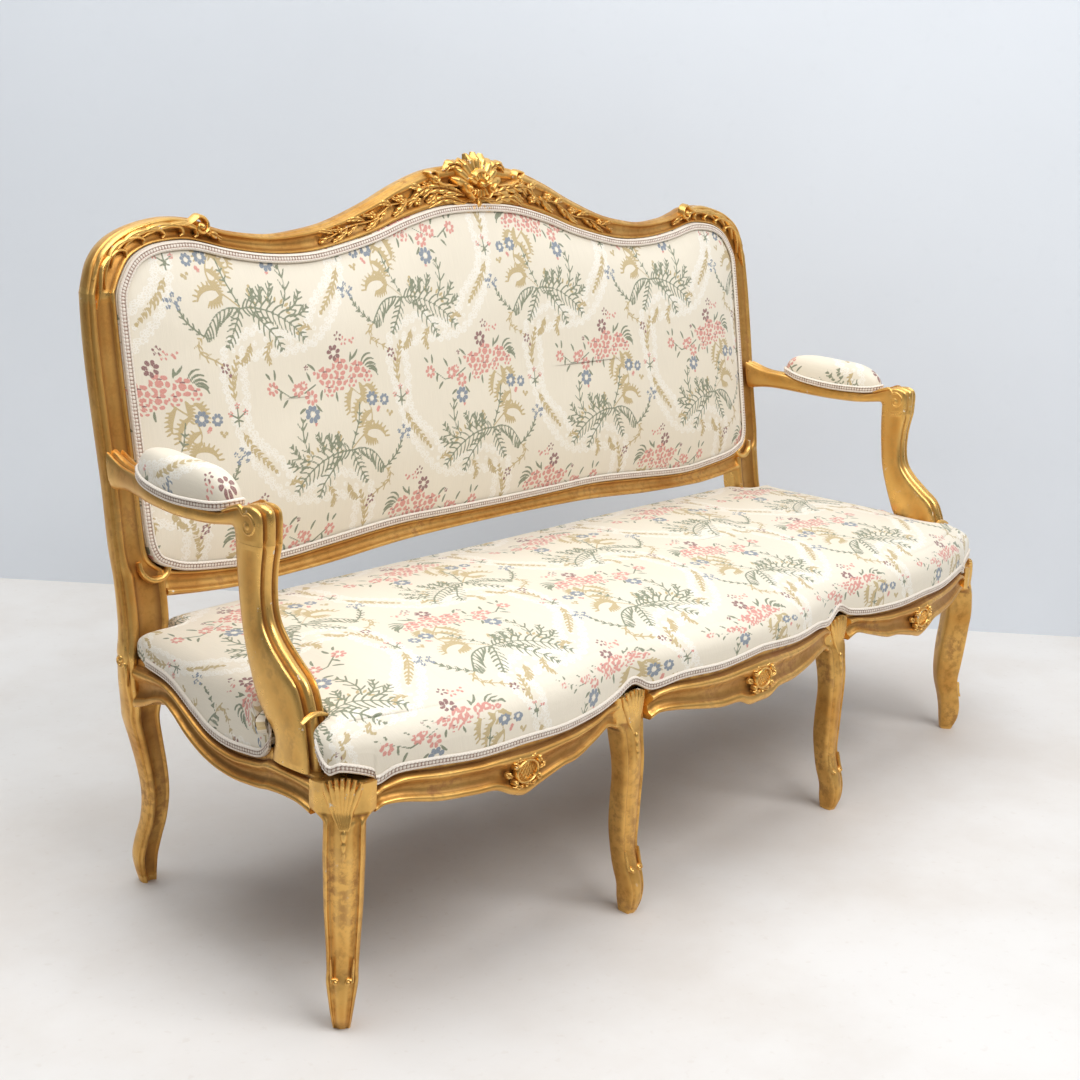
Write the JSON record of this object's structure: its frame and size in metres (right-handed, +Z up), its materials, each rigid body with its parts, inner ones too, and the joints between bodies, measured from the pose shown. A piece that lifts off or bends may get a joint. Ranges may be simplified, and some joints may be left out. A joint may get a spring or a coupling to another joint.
{
  "type": "cabriole sofa",
  "caption": "Wide cabriole sofa with a carved gilt show-wood frame, a domed upholstered seat and back, and padded open arms.",
  "frame": {"origin": "on the floor under the middle of the sofa, halfway along its width and its depth", "axes": "+X to the right of someone facing the front of the sofa, +Y from the front to the back, +Z up"},
  "size_m": [1.7524, 0.7394, 1.1289],
  "materials": {
    "gilded_beech": "carved beech under gesso, red bole and water gilding, rubbed with age",
    "bare_beech": "planed beech, unfinished, inside the frame",
    "floral_brocade": "ivory satin brocade with rose bouquets, ferns and lace ribbons",
    "gimp_braid": "ivory double-cord gimp with a darker ladder thread",
    "jute_web": "woven jute webbing and hessian",
    "hair_stuffing": "stitched hair stuffing under calico"
  },
  "bodies": {
    "root": {"front_leg_left": "gilded_beech", "front_leg_right": "gilded_beech", "front_leg_middle_left": "gilded_beech", "front_leg_middle_right": "gilded_beech", "rear_post_left": "gilded_beech", "rear_post_right": "gilded_beech", "rear_leg_middle_left": "gilded_beech", "rear_leg_middle_right": "gilded_beech", "front_rail_left": "gilded_beech", "front_rail_centre": "gilded_beech", "front_rail_right": "gilded_beech", "side_rail_left": "gilded_beech", "side_rail_right": "gilded_beech", "rail_cartouches": "gilded_beech", "rear_seat_rail": "bare_beech", "seat_bearers": "bare_beech", "corner_blocks": "bare_beech", "crest_rail": "gilded_beech", "crest_cartouche": "gilded_beech", "shoulder_scrolls": "gilded_beech", "lower_back_rail": "gilded_beech", "back_braces": "bare_beech", "arm_support_left": "gilded_beech", "arm_support_right": "gilded_beech", "arm_rail_left": "gilded_beech", "arm_rail_right": "gilded_beech", "arm_pad_left": "floral_brocade", "arm_pad_right": "floral_brocade", "arm_pad_gimp_left": "gimp_braid", "arm_pad_gimp_right": "gimp_braid", "seat_webbing": "jute_web", "seat_hessian": "jute_web", "seat_stuffing": "hair_stuffing", "seat_cover": "floral_brocade", "seat_gimp": "gimp_braid", "back_webbing": "jute_web", "back_hessian": "jute_web", "back_stuffing": "hair_stuffing", "back_cover": "floral_brocade", "back_gimp": "gimp_braid", "outside_back_cover": "floral_brocade"}
  },
  "joints": []
}
